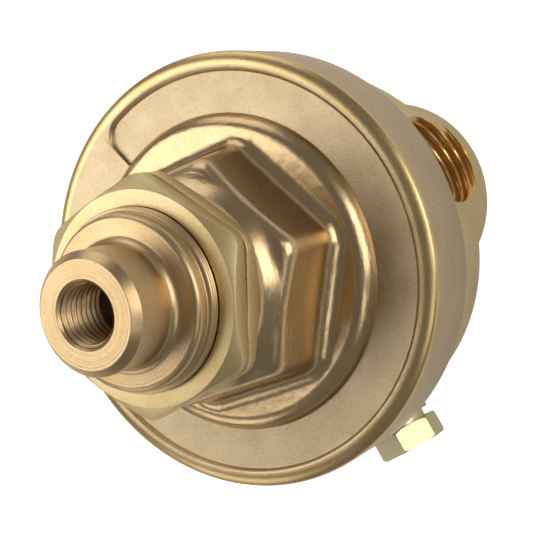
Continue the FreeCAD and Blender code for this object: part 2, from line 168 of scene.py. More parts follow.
@dataclass
class Paint:
    """Builds each finish as a material once and hands it out.

    The bloom of an aged metal has broad clouds and small spots. The strokes of a ground face are
    fine along Z and long across it.
    """

    bloom_mm: float = 6.0
    spot_mm: float = 0.4
    spot_shade: str = "#5E4A2A"
    spot_share: float = 0.35
    spot_from: float = 0.55
    spot_full: float = 0.75
    stroke_stretch: tuple[float, float, float] = (0.12, 0.12, 1.0)
    relief_gain: float = 4.0
    relief_depth: float = 0.2
    made: dict[str, bpy.types.Material] = field(default_factory=dict)

    def relief(self, tree: bpy.types.NodeTree, finish: Finish) -> bpy.types.NodeSocket:
        """Height of the fine marks.

        They are rings for a turned face, where a noise runs along the radius plus the height, and
        strokes round the axis for a ground one. Every other face has an even grain.

        Args:
            tree: the material's nodes.
            finish: what the surface is.

        Returns:
            The socket that holds the height.
        """
        place = add_node(tree, "ShaderNodeTexCoord").outputs["Object"]
        scale = 1.0 / (finish.mark_mm * MM)
        if finish.surface is Surface.TURNED:
            apart = add_node(tree, "ShaderNodeSeparateXYZ", inputs={0: place})
            flat = add_node(tree, "ShaderNodeCombineXYZ", inputs={
                0: apart.outputs[0], 1: apart.outputs[1]})
            reach = add_node(tree, "ShaderNodeVectorMath", {"operation": "LENGTH"}, {
                0: flat.outputs[0]})
            path = add_node(tree, "ShaderNodeMath", {"operation": "ADD"}, {
                0: reach.outputs["Value"], 1: apart.outputs[2]})
            rings = add_node(tree, "ShaderNodeTexNoise", {"noise_dimensions": "1D"}, {
                "W": path.outputs[0], "Scale": scale, "Detail": 2.0, "Roughness": 0.7})
            return rings.outputs["Fac"]
        if finish.surface is Surface.GROUND:
            place = add_node(tree, "ShaderNodeMapping", inputs={
                "Vector": place, "Scale": self.stroke_stretch}).outputs[0]
        grain = add_node(tree, "ShaderNodeTexNoise", inputs={
            "Vector": place, "Scale": scale, "Detail": 3.0, "Roughness": 0.6})
        return grain.outputs["Fac"]

    def bloom(self, tree: bpy.types.NodeTree, finish: Finish) -> bpy.types.NodeSocket:
        """Colour of an aged metal: broad clouds of its tint and a few small brown spots.

        Args:
            tree: the material's nodes.
            finish: what the surface is.

        Returns:
            The socket that holds the colour.
        """
        place = add_node(tree, "ShaderNodeTexCoord").outputs["Object"]
        cloud = add_node(tree, "ShaderNodeTexNoise", inputs={
            "Vector": place, "Scale": 1.0 / (self.bloom_mm * MM), "Detail": 4.0})
        aged = add_node(tree, "ShaderNodeMix", {"data_type": "RGBA"}, {
            "Factor": cloud.outputs["Fac"], 6: linear(finish.shade), 7: linear(finish.tint)})
        spots = add_node(tree, "ShaderNodeTexNoise", inputs={
            "Vector": place, "Scale": 1.0 / (self.spot_mm * MM), "Detail": 2.0, "Roughness": 0.7})
        few = add_node(tree, "ShaderNodeMapRange", inputs={
            "Value": spots.outputs["Fac"], 1: self.spot_from, 2: self.spot_full,
            3: 0.0, 4: self.spot_share})
        spotted = add_node(tree, "ShaderNodeMix", {"data_type": "RGBA"}, {
            "Factor": few.outputs[0], 6: aged.outputs[2], 7: linear(self.spot_shade)})
        return spotted.outputs[2]

    def material(self, finish: Finish) -> bpy.types.Material:
        """Build a finish as a material, or return the one already built.

        Args:
            finish: the finish to build.

        Returns:
            The material.
        """
        if finish.name in self.made:
            return self.made[finish.name]
        material = bpy.data.materials.new(finish.name)
        material.use_nodes = True
        tree = material.node_tree
        tree.nodes.clear()
        bump = add_node(tree, "ShaderNodeBump", inputs={
            "Strength": finish.relief * self.relief_gain,
            "Distance": finish.mark_mm * MM * self.relief_depth,
            "Height": self.relief(tree, finish)})
        shader = add_node(tree, "ShaderNodeBsdfPrincipled", inputs={
            "Base Color": self.bloom(tree, finish) if finish.tint else linear(finish.shade),
            "Metallic": finish.metallic, "Roughness": finish.roughness,
            "Normal": bump.outputs[0]})
        add_node(tree, "ShaderNodeOutputMaterial", inputs={"Surface": shader.outputs[0]})
        self.made[finish.name] = material
        return material

    def dress(self, piece: bpy.types.Object, finish: Finish) -> None:
        """Give a piece one finish all over."""
        piece.data.materials.clear()
        piece.data.materials.append(self.material(finish))


def directions(count: int, fine_at: Iterable[float] = (), spread: float = 0.0,
               fine: int = 0) -> np.ndarray:
    """Directions round the axis: an even set, with more of them near the places named.

    Args:
        count: how many stand evenly round the circle.
        fine_at: degrees at which there are more.
        spread: how far to each side of a place they go, in degrees.
        fine: how many there are at each place.

    Returns:
        The directions in radians, rising, each once.
    """
    parts = [np.arange(count) * 360 / count]
    for place in fine_at:
        parts.append(np.linspace(place - spread, place + spread, fine) % 360)
    return np.radians(np.unique(np.concatenate(parts).round(4)))


def hexagon_corners(turn: float) -> list[float]:
    """Directions of a hexagon's six corners in degrees, from that of one of them."""
    return [turn + 60 * k for k in range(6)]


def hexagon_reach(angles: np.ndarray, across: float, turn: float, corner: float) -> np.ndarray:
    """Radius of a round-cornered hexagon in each direction.

    Along a flat it is the half width over the cosine of the angle from the flat's middle. At a
    corner it is the far crossing of the line with the corner's circle.

    Args:
        angles: directions in radians.
        across: distance across flats.
        turn: direction of one corner, in degrees.
        corner: the corners' radius.

    Returns:
        One radius a direction.
    """
    half = math.radians(30)
    off = np.abs((angles - math.radians(turn) + half) % (2 * half) - half)
    flat = across / 2 / np.cos(half - off)
    centre = (across / 2 - corner) / math.cos(half)
    inside = np.maximum(corner ** 2 - (centre * np.sin(off)) ** 2, 0)
    arc = centre * np.cos(off) + np.sqrt(inside)
    edge = math.atan2(corner * math.sin(half), centre + corner * math.cos(half))
    return np.where(off < edge, arc, flat)


def chain(columns: int, *corners: tuple) -> np.ndarray:
    """Stack corners, each a radius and a height that are numbers or one value a column.

    Args:
        columns: how many directions there are.
        corners: pairs of radius and height.

    Returns:
        An array shaped (corners, columns, 2).
    """
    return np.stack([np.stack([np.broadcast_to(r, columns), np.broadcast_to(z, columns)], axis=1)
                     for r, z in corners]).astype(float)


def rounded(corners: np.ndarray, radii: Iterable[float], steps: int = 7) -> np.ndarray:
    """Round the inner corners of an open chain, in every column at once.

    An arc's centre lies on the bisector of the two unit directions that leave its corner, and its
    points turn about the centre in equal angles. An arc takes half of a side that it shares with
    another arc, and nearly all of one that it has for itself. A corner that isn't bent in some
    column stays one point there.

    Args:
        corners: shaped (corners, columns, 2).
        radii: one radius a corner, where 0 keeps it sharp.
        steps: points along each arc.

    Returns:
        Rows shaped (rows, columns, 2).
    """
    shared, alone = 0.49, 0.95
    tiny, straight = 1e-9, 1e-3
    rows = [corners[:1]]
    share = np.linspace(0, 1, steps)[:, None, None]
    radii = list(radii)
    for k, radius in list(enumerate(radii))[1:-1]:
        here = corners[k]
        if radius <= 0:
            rows.append(here[None])
            continue
        back = corners[k - 1] - here
        fore = corners[k + 1] - here
        back_length = np.linalg.norm(back, axis=1)
        fore_length = np.linalg.norm(fore, axis=1)
        back = back / np.maximum(back_length, tiny)[:, None]
        fore = fore / np.maximum(fore_length, tiny)[:, None]
        half = np.arccos(np.clip((back * fore).sum(1), -1, 1)) / 2
        bent = half < math.pi / 2 - straight
        half = np.where(bent, half, math.pi / 4)
        room = np.minimum(back_length * (shared if radii[k - 1] else alone),
                          fore_length * (shared if radii[k + 1] else alone))
        reach = np.minimum(radius / np.tan(half), room)
        middle = back + fore
        middle = middle / np.maximum(np.linalg.norm(middle, axis=1), tiny)[:, None]
        centre = here + middle * (reach * np.tan(half) / np.sin(half))[:, None]
        start = here + back * reach[:, None] - centre
        end = here + fore * reach[:, None] - centre
        turn = (math.pi - 2 * half)[None, :, None]
        arc = np.sin((1 - share) * turn) * start + np.sin(share * turn) * end
        rows.append(np.where(bent[None, :, None], centre + arc / np.sin(turn), here[None]))
    rows.append(corners[-1:])
    return np.concatenate(rows)


def thread_rows(angles: np.ndarray, radius: float, start: float, end: float, pitch: float,
                height: float, per_turn: int) -> np.ndarray:
    """Rows along a right-hand thread.

    The radius is the plain one plus a rounded ridge, a raised cosine of height over pitch less the
    direction over a full turn, which fades in and out over half a pitch at both ends. A power
    below 1 makes the ridge a little broader than its groove.

    Args:
        angles: directions in radians.
        radius: plain radius.
        start: height at which the rows start.
        end: height at which they end.
        pitch: distance from ridge to ridge.
        height: how far the ridges stand out, negative for a thread inside a hole.
        per_turn: rows in one pitch.

    Returns:
        Rows shaped (rows, columns, 2).
    """
    broad = 0.8
    count = max(2, int(abs(end - start) / pitch * per_turn))
    z = np.linspace(start, end, count)[:, None]
    phase = 2 * math.pi * z / pitch - angles[None, :]
    ridge = (0.5 + 0.5 * np.cos(phase)) ** broad
    fade = np.clip(np.minimum(np.abs(z - start), np.abs(z - end)) / (pitch / 2), 0, 1)
    return np.stack([radius + height * ridge * fade, np.broadcast_to(z, phase.shape)], axis=-1)


def turned_round(rows: np.ndarray, angles: np.ndarray) -> np.ndarray:
    """Carry rows round the axis: x and y are the radius times the direction's cosine and sine.

    Args:
        rows: radius and height, shaped (rows, columns, 2).
        angles: the columns' directions in radians.

    Returns:
        Points in space, shaped (rows, columns, 3).
    """
    x = rows[..., 0] * np.cos(angles)
    y = rows[..., 0] * np.sin(angles)
    return np.stack([x, y, rows[..., 1]], axis=-1)


def finished_mesh(mesh: bpy.types.Mesh, name: str, crease: float) -> bpy.types.Object:
    """Merge a mesh's doubles, turn its faces outwards, shade it and put it in the scene.

    Args:
        mesh: the mesh.
        name: the object's name.
        crease: edges sharper than this many degrees stay crisp.

    Returns:
        The new object.
    """
    double = 0.002 * MM
    work = bmesh.new()
    work.from_mesh(mesh)
    bmesh.ops.remove_doubles(work, verts=work.verts, dist=double)
    bmesh.ops.dissolve_degenerate(work, edges=work.edges, dist=double)
    bmesh.ops.recalc_face_normals(work, faces=work.faces)
    work.to_mesh(mesh)
    work.free()
    mesh.polygons.foreach_set("use_smooth", np.ones(len(mesh.polygons), bool))
    mesh.set_sharp_from_angle(angle=math.radians(crease))
    piece = bpy.data.objects.new(name, mesh)
    bpy.context.scene.collection.objects.link(piece)
    return piece


@dataclass
class Grid:
    """A surface on a grid of rows and columns, with a finish for each band of rows."""

    name: str
    angles: np.ndarray
    rows: list[np.ndarray] = field(default_factory=list)
    bands: list[Finish] = field(default_factory=list)

    def add(self, rows: np.ndarray, finish: Finish) -> None:
        """Add rows of radius and height, shaped (rows, columns, 2), that have one finish."""
        self.rows.append(turned_round(rows, self.angles))
        self.bands.append(finish)

    def build(self, paint: Paint, loop: bool, crease: float = CREASE,
              place: Matrix | None = None) -> bpy.types.Object:
        """Join the rows into one mesh that is closed round its columns.

        Each square between two rows and two columns is one face.

        Args:
            paint: builds the materials.
            loop: whether the last row joins the first.
            crease: edges sharper than this many degrees stay crisp.
            place: turns and moves the mesh from its own axis to its place, in millimetres.

        Returns:
            The new object.
        """
        points = np.concatenate(self.rows)
        count, columns = points.shape[:2]
        index = np.arange(count * columns).reshape(count, columns)
        low = index if loop else index[:-1]
        high = np.roll(index, -1, axis=0) if loop else index[1:]
        faces = np.stack([low, np.roll(low, -1, 1), np.roll(high, -1, 1), high], axis=-1)
        points = points.reshape(-1, 3)
        if place is not None:
            turn = np.array(place)
            points = points @ turn[:3, :3].T + turn[:3, 3]
        mesh = bpy.data.meshes.new(self.name)
        mesh.from_pydata((points * MM).tolist(), [], faces.reshape(-1, 4).tolist())
        finishes = list(dict.fromkeys(self.bands))
        for finish in finishes:
            mesh.materials.append(paint.material(finish))
        kinds = np.concatenate([np.full(len(rows), finishes.index(finish))
                                for rows, finish in zip(self.rows, self.bands)])
        kinds = np.repeat(kinds[:len(low)], columns).astype(np.int32)
        mesh.polygons.foreach_set("material_index", kinds)
        return finished_mesh(mesh, self.name, crease)


def carve(piece: bpy.types.Object,
          tools: Iterable[tuple[bpy.types.Object, str]]) -> bpy.types.Object:
    """Join tools to a piece or cut them out of it, one after another.

    Args:
        piece: the piece.
        tools: each tool with "UNION" or "DIFFERENCE".

    Returns:
        A new object with the result. The piece and the tools are removed.
    """
    tools = list(tools)
    for tool, operation in tools:
        step = piece.modifiers.new(tool.name, "BOOLEAN")
        step.operation = operation
        step.solver = "EXACT"
        step.material_mode = "TRANSFER"
        step.object = tool
    bpy.context.view_layer.update()
    result = piece.evaluated_get(bpy.context.evaluated_depsgraph_get())
    mesh = bpy.data.meshes.new_from_object(result)
    name = piece.name
    for leftover in [piece] + [tool for tool, _ in tools]:
        bpy.data.objects.remove(leftover)
    return finished_mesh(mesh, name, CREASE)


@dataclass
class Bonnet:
    """The bonnet: cover with a sunk panel, step, drafted hexagon and turned, threaded nose."""

    # Cover: the skirt, its crowned border and the face that clamps the diaphragm.
    rim_r: float = 41.98
    rim_slope: float = 45.0
    rim_crown: float = 3.6
    rim_edge: float = 0.4
    rim_start: float = 50.0
    rim_rows: int = 10
    skirt_low: float = 25.25
    skirt_round: float = 0.6
    socket_r: float = 37.7
    clamp: float = 35.2
    border: float = 40.6
    border_edge: float = 0.8
    # Sunk panel: it runs from panel_start to panel_end and has round ends.
    panel_depth: float = 0.84
    panel_outer_r: float = 38.7
    panel_draft: float = 0.45
    panel_foot_round: float = 0.2
    panel_start: float = -169.0
    panel_end: float = 98.8
    # Step with its broad rounding, and the hexagon that tapers from its foot to its head.
    step_r: float = 30.6
    step_round: float = 3.4
    step_rows: int = 14
    ledge: float = 42.5
    hex_turn: float = -10.8
    hex_corner: float = 3.4
    foot_across: float = 44.0
    foot_round: float = 3.2
    head_across: float = 40.5
    head_round: float = 8.0
    head: float = 55.1
    # Neck: a low cone, at four shares of which the hexagon's corners die away, then a round rod.
    cone_height: float = 3.3
    cone_shares: tuple[float, ...] = (0.2, 0.35, 0.55, 1.0)
    corner_fade: float = 5.0
    neck_root: float = 2.2
    neck_r: float = 17.4
    neck_top: float = 61.8
    # Nose: the last ridges of its thread, the dome and the tip.
    nose_r: float = 15.85
    thread_low: float = 69.95
    thread_top: float = 71.9
    thread_pitch: float = 0.6
    thread_height: float = 0.17
    ridge_rows: int = 10
    dome_r: float = 15.2
    dome_low: float = 72.15
    dome_foot_round: float = 0.3
    dome_top: float = 74.55
    dome_round: float = 2.4
    tip_r: float = 10.4
    tip_foot_round: float = 1.75
    tip_top: float = 83.3
    tip_round: float = 0.2
    end_r: float = 9.1
    end: float = 84.6
    end_round: float = 0.15
    # Tapped hole for the screw, and the spring's chamber below it.
    mouth_r: float = 5.9
    mouth_round: float = 0.1
    hole_r: float = 5.5
    hole_thread_low: float = 73.0
    hole_thread_top: float = 84.2
    hole_pitch: float = 1.27
    hole_thread_height: float = -0.55
    hole_ridge_rows: int = 8
    hole_low: float = 61.55
    chamber_r: float = 11.6
    chamber_top: float = 58.5
    chamber_low: float = 42.1
    dish_r: float = 14.0
    dish_top: float = 40.6
    dish_rim_r: float = 28.0
    dish_low: float = 37.4
    # Mesh: columns all round, and more of them near the panel's ends.
    columns: int = 360
    end_spread: float = 1.2
    end_columns: int = 13
    arc_rows: int = 9

    def panel_edges(self, angles: np.ndarray) -> tuple[np.ndarray, np.ndarray, np.ndarray]:
        """Inner and outer radius and floor of the sunk panel in each direction.

        Between the centres of its ends it has its full width. Past them the radii are the two
        crossings of the direction with the end's circle, and where there is none both fall on
        the panel's middle and the floor is at the border.

        Args:
            angles: directions in radians.

        Returns:
            Inner radius, outer radius and floor height.
        """
        middle = (self.panel_outer_r + self.step_r) / 2
        half = (self.panel_outer_r - self.step_r) / 2
        span = (np.degrees(angles) - self.panel_start) % 360
        total = (self.panel_end - self.panel_start) % 360
        past = np.radians(np.where(span <= total, 0, np.minimum(span - total, 360 - span)))
        under = half ** 2 - (middle * np.sin(past)) ** 2
        chord = np.where(past > math.pi / 2, 0, np.sqrt(np.maximum(under, 0)))
        mid = np.where(chord > 0, middle * np.cos(past), middle)
        floor = np.where(chord > 0, self.border - self.panel_depth, self.border)
        return mid - chord, mid + chord, floor

    def rim_middle_r(self) -> float:
        """Radius of the centre of the border's circle, which meets the skirt at rim_slope."""
        return self.rim_r - self.rim_crown * math.cos(math.radians(self.rim_slope))

    def rim(self, columns: int) -> np.ndarray:
        """Rows of the crowned border: equal angles of its circle, up to the circle's top.

        Args:
            columns: how many directions there are.

        Returns:
            The rows, the first of which is on the skirt, just below the edge.
        """
        middle_z = self.border - self.rim_crown
        slope = math.radians(self.rim_slope)
        edge_z = middle_z + self.rim_crown * math.sin(slope) - self.rim_edge
        turn = np.radians(np.linspace(self.rim_start, 90, self.rim_rows))
        return chain(columns, (self.rim_r, edge_z),
                     *zip(self.rim_middle_r() + self.rim_crown * np.cos(turn),
                          middle_z + self.rim_crown * np.sin(turn)))

    def roll_foot(self, floor: np.ndarray) -> np.ndarray:
        """Radius at which the step's broad rounding, a circle, reaches the floor beside it."""
        below = self.ledge - self.step_round - floor
        return self.step_r - self.step_round + np.sqrt(self.step_round ** 2 - below ** 2)

    def roll(self, floor: np.ndarray) -> np.ndarray:
        """Rows of the step's rounding: equal angles of one circle, from the floor to the ledge.

        Args:
            floor: height of the floor beside the step in each direction.

        Returns:
            Rows shaped (rows, columns, 2).
        """
        middle_r = self.step_r - self.step_round
        middle_z = self.ledge - self.step_round
        start = np.arcsin((floor - middle_z) / self.step_round)
        turn = start + np.linspace(0, 1, self.step_rows)[:, None] * (math.pi / 2 - start)
        return np.stack([middle_r + self.step_round * np.cos(turn),
                         middle_z + self.step_round * np.sin(turn)], axis=-1)

    def neck(self, head: np.ndarray) -> list[tuple[np.ndarray, float]]:
        """Corners of the cone above the hexagon, on which the hexagon's corners die away.

        A row's radius is the cone's, plus what the hexagon stands out past its flats times a
        power of what is left of the cone.

        Args:
            head: radius of the hexagon's head in each direction.

        Returns:
            A radius for each direction, and a height, for each share of the cone.
        """
        found = []
        flat_r = self.head_across / 2
        for share in self.cone_shares:
            round_r = flat_r + share * (self.neck_r - flat_r)
            reach = round_r + (head - flat_r) * (1 - share) ** self.corner_fade
            found.append((reach, self.head + share * self.cone_height))
        return found

    def add_cover(self, grid: Grid) -> None:
        """Add the skirt, the border, the sunk panel and the step's rounding.

        Args:
            grid: takes the rows.
        """
        n = len(grid.angles)
        inner, outer, floor = self.panel_edges(grid.angles)
        draft = np.minimum(self.panel_draft, (outer - inner) / 4)
        rim = self.rim(n)
        skirt = chain(n, (self.socket_r, self.skirt_low), (self.rim_r, self.skirt_low))
        grid.add(rounded(np.concatenate([skirt, rim[:1]]), (0, self.skirt_round, 0)), SKIRT_BRASS)
        # The border's lighter colour is partly a painted highlight.
        grid.add(rim, RIM_BRASS_PAINTED_HIGHLIGHT)
        grid.add(rounded(chain(
            n, (self.rim_middle_r(), self.border), (outer, self.border), (outer - draft, floor),
            (inner + draft, floor), (self.roll_foot(floor), floor)),
            (0, self.border_edge, self.panel_foot_round, 0, 0)), COVER_BRASS)
        grid.add(self.roll(floor), FORGED_BRASS)

    def add_hexagon(self, grid: Grid) -> None:
        """Add the ledge, the hexagon and the neck.

        Args:
            grid: takes the rows.
        """
        foot = hexagon_reach(grid.angles, self.foot_across, self.hex_turn, self.hex_corner)
        head = hexagon_reach(grid.angles, self.head_across, self.hex_turn, self.hex_corner)
        grid.add(rounded(chain(
            len(grid.angles), (self.step_r - self.step_round, self.ledge), (foot, self.ledge),
            (head, self.head), *self.neck(head), (self.neck_r, self.neck_top),
            (self.nose_r, self.neck_top)),
            (0, self.foot_round, self.head_round, 0, 0, 0, self.neck_root, 0, 0),
            self.arc_rows), FORGED_BRASS)

    def add_nose(self, grid: Grid) -> None:
        """Add the nose with its thread, the tapped hole and the chamber down to the clamp.

        Args:
            grid: takes the rows.
        """
        n = len(grid.angles)
        grid.add(thread_rows(grid.angles, self.nose_r, self.thread_low, self.thread_top,
                             self.thread_pitch, self.thread_height, self.ridge_rows), TURNED_BRASS)
        grid.add(rounded(chain(
            n, (self.nose_r, self.thread_top), (self.dome_r, self.dome_low),
            (self.dome_r, self.dome_top), (self.tip_r, self.dome_top), (self.tip_r, self.tip_top),
            (self.end_r, self.end), (self.mouth_r, self.end), (self.hole_r, self.hole_thread_top)),
            (0, self.dome_foot_round, self.dome_round, self.tip_foot_round, self.tip_round,
             self.end_round, self.mouth_round, 0), self.arc_rows), TURNED_BRASS)
        grid.add(thread_rows(grid.angles, self.hole_r, self.hole_thread_top, self.hole_thread_low,
                             self.hole_pitch, self.hole_thread_height, self.hole_ridge_rows),
                 TURNED_BRASS)
        grid.add(chain(
            n, (self.hole_r, self.hole_thread_low), (self.hole_r, self.hole_low),
            (self.chamber_r, self.chamber_top), (self.chamber_r, self.chamber_low),
            (self.dish_r, self.dish_top), (self.dish_rim_r, self.dish_low),
            (self.dish_rim_r, self.clamp), (self.socket_r, self.clamp)), TURNED_BRASS)

    def build(self, paint: Paint) -> bpy.types.Object:
        """Build the bonnet's whole skin, from the skirt's lower edge round to the same edge.

        Args:
            paint: builds the materials.

        Returns:
            The bonnet.
        """
        end_reach = math.degrees((self.panel_outer_r - self.step_r)
                                 / (self.panel_outer_r + self.step_r))
        ends = (self.panel_end + end_reach, self.panel_start - end_reach)
        grid = Grid("bonnet_shell", directions(self.columns, ends, self.end_spread,
                                               self.end_columns))
        self.add_cover(grid)
        self.add_hexagon(grid)
        self.add_nose(grid)
        return grid.build(paint, True)


@dataclass
class PanelNut:
    """A thin hexagon nut with rounded corners, chamfered on its outer face and flat behind."""

    name: str
    back: float
    face: float
    turn: float
    across: float = 38.1
    corner: float = 3.8
    face_r: float = 18.8
    slope: float = 30.0
    bore_r: float = 15.95
    lead: float = 0.15
    edge: float = 0.14
    columns: int = 240
    corner_spread: float = 7.5
    corner_columns: int = 21
    arc_rows: int = 4

    def build(self, paint: Paint) -> bpy.types.Object:
        """Build the nut.

        In each direction the chamfer falls from the face's circle at a fixed slope until it
        meets the hexagon, so its edge rises to an arch on every flat.

        Args:
            paint: builds the materials.

        Returns:
            The nut.
        """
        angles = directions(self.columns, hexagon_corners(self.turn), self.corner_spread,
                            self.corner_columns)
        n = len(angles)
        side = hexagon_reach(angles, self.across, self.turn, self.corner)
        outward = math.copysign(1, self.face - self.back)
        drop = outward * (side - self.face_r) * math.tan(math.radians(self.slope))
        lead = outward * self.lead
        mouth_r = self.bore_r + self.lead
        grid = Grid(self.name, angles)
        grid.add(rounded(chain(
            n, (mouth_r, self.back), (side, self.back), (side, self.face - drop),
            (self.face_r, self.face), (mouth_r, self.face)),
            (0, self.edge, self.edge, self.edge, 0), self.arc_rows), NUT_BRASS)
        # The bore's finish carries painted bounce light in its colour.
        grid.add(chain(n, (self.bore_r, self.face - lead), (self.bore_r, self.back + lead)),
                 PORT_BRASS_PAINTED_BOUNCE)
        return grid.build(paint, True, FINE_CREASE)


@dataclass
class PortPlug:
    """Pipe plug with a chamfered hexagon head, screwed into its boss along -Y."""

    axis_z: float = 9.6
    shank_end: float = 33.3
    shank_r: float = 5.1
    head_low: float = 41.9
    low_edge: float = 0.12
    head_high: float = 46.54
    high_edge: float = 0.15
    across: float = 12.7
    turn: float = -39.25
    corner: float = 0.25
    chamfer: float = 0.5
    wall_inset: float = 0.3
    columns: int = 180
    corner_spread: float = 3.0
    corner_columns: int = 13
    arc_rows: int = 4

    def build(self, paint: Paint) -> bpy.types.Object:
        """Build the plug about its own axis, then turn it to face -Y.

        The chamfers cut the hexagon's corners back to a circle. A row just inside each end of
        the walls keeps the flats' shading flat between them.

        Args:
            paint: builds the materials.

        Returns:
            The plug.
        """
        angles = directions(self.columns, hexagon_corners(self.turn), self.corner_spread,
                            self.corner_columns)
        side = hexagon_reach(angles, self.across, self.turn, self.corner)
        face_r = self.across / 2 / math.cos(math.radians(30)) - self.chamfer
        face = np.minimum(side, face_r)
        cut = np.maximum(side - face_r, 0)
        wall_low = self.head_low + cut
        wall_high = self.head_high - cut
        grid = Grid("plug_fitting", angles)
        grid.add(rounded(chain(
            len(angles), (0, self.shank_end), (self.shank_r - self.chamfer, self.shank_end),
            (self.shank_r, self.shank_end + self.chamfer), (self.shank_r, self.head_low),
            (face, self.head_low), (side, wall_low), (side, wall_low + self.wall_inset),
            (side, wall_high - self.wall_inset), (side, wall_high), (face, self.head_high),
            (face - self.chamfer, self.head_high), (0, self.head_high)),
            (0, 0, 0, 0, self.low_edge, self.low_edge, 0, 0, self.high_edge, self.high_edge, 0, 0),
            self.arc_rows), FITTING_BRASS)
        place = Matrix.Translation((0, 0, self.axis_z)) @ Matrix.Rotation(QUARTER, 4, "X")
        return grid.build(paint, False, FINE_CREASE, place)


@dataclass(frozen=True)
class Rod:
    """A plain round rod: its name, its radius, and where it starts and ends along its axis."""

    name: str
    r: float
    start: float
    end: float

    def build(self, paint: Paint, place: Matrix, finish: Finish) -> bpy.types.Object:
        """Build the rod about its own axis, then put it in its place.

        Args:
            paint: builds the materials.
            place: turns and moves it to its place.
            finish: what it looks like, or what the hole that it cuts looks like.

        Returns:
            The rod.
        """
        angles = directions(96)
        grid = Grid(self.name, angles)
        grid.add(chain(len(angles), (0, self.start), (self.r, self.start), (self.r, self.end),
                       (0, self.end)), finish)
        return grid.build(paint, False, CREASE, place)


@dataclass
class Port:
    """A pipe port: a thread with round crests in its mouth, then a plain drilled end."""

    r: float = 9.2
    pitch: float = 1.814
    thread_depth: float = 1.2
    groove_power: float = 1.3
    thread_low: float = 25.5
    thread_fade: float = 3.0
    rows: int = 100
    mouth: float = 41.5
    drill_r: float = 9.3
    drill_end: float = 22.2
    columns: int = 144
    crease: float = 60.0

    def build(self, name: str, paint: Paint, place: Matrix) -> bpy.types.Object:
        """Build the tool that cuts the port.

        The radius is the plain one plus a groove, one less a power of a raised cosine of height
        over pitch less the direction over a full turn, which fades in from the drilled end.

        Args:
            name: the tool's name.
            paint: builds the materials.
            place: turns and moves it to its place.

        Returns:
            The tool.
        """
        angles = directions(self.columns)
        n = len(angles)
        grid = Grid(name, angles)
        # The port's finish carries painted bounce light in its colour.
        grid.add(chain(n, (0, self.drill_end), (self.drill_r, self.drill_end)), PORT_BRASS_PAINTED_BOUNCE)
        z = np.linspace(self.thread_low, self.mouth, self.rows)[:, None]
        phase = 2 * math.pi * z / self.pitch - angles[None, :]
        groove = 1 - (0.5 + 0.5 * np.cos(phase)) ** self.groove_power
        fade = np.clip((z - self.thread_low) / self.thread_fade, 0, 1)
        grid.add(np.stack([self.r + self.thread_depth * groove * fade,
                           np.broadcast_to(z, phase.shape)], axis=-1), PORT_BRASS_PAINTED_BOUNCE)
        grid.add(chain(n, (0, self.mouth)), PORT_BRASS_PAINTED_BOUNCE)
        return grid.build(paint, False, self.crease, place)


